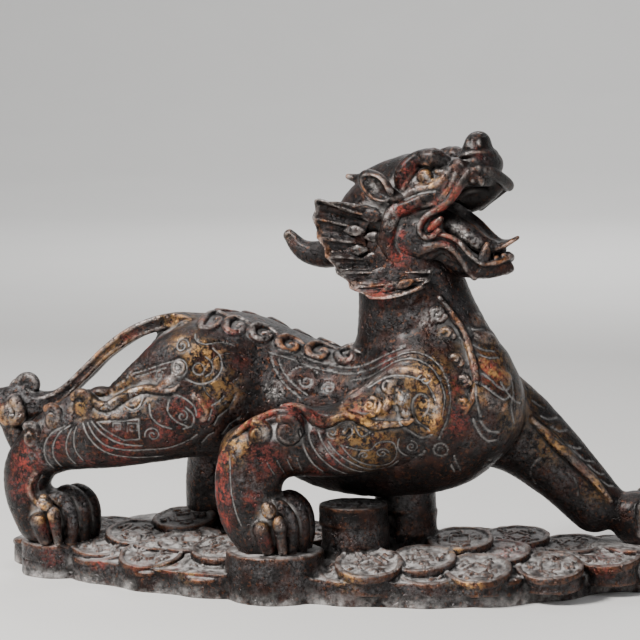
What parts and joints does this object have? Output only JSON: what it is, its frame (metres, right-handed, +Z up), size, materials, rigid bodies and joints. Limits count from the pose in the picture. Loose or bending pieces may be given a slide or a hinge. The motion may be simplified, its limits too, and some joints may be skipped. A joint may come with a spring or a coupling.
{
  "type": "mythical beast sculpture",
  "caption": "Cast bronze beast with its head thrown back to roar and its tail curled, striding over a bed of old coins; a figure that stands on a desk, shelf or plinth.",
  "frame": {"origin": "on the flat underside of the coin base, at the middle of the length and the width", "axes": "+X the way the beast faces, along its length; +Y its left side; +Z up"},
  "size_m": [0.2603, 0.093, 0.1628],
  "materials": {
    "bronze": "dark brown patina with a dull sheen, pale dust in the recesses, reddish and golden wear on the raised parts"
  },
  "bodies": {
    "root": {"beast_on_coins": "bronze"}
  },
  "joints": []
}
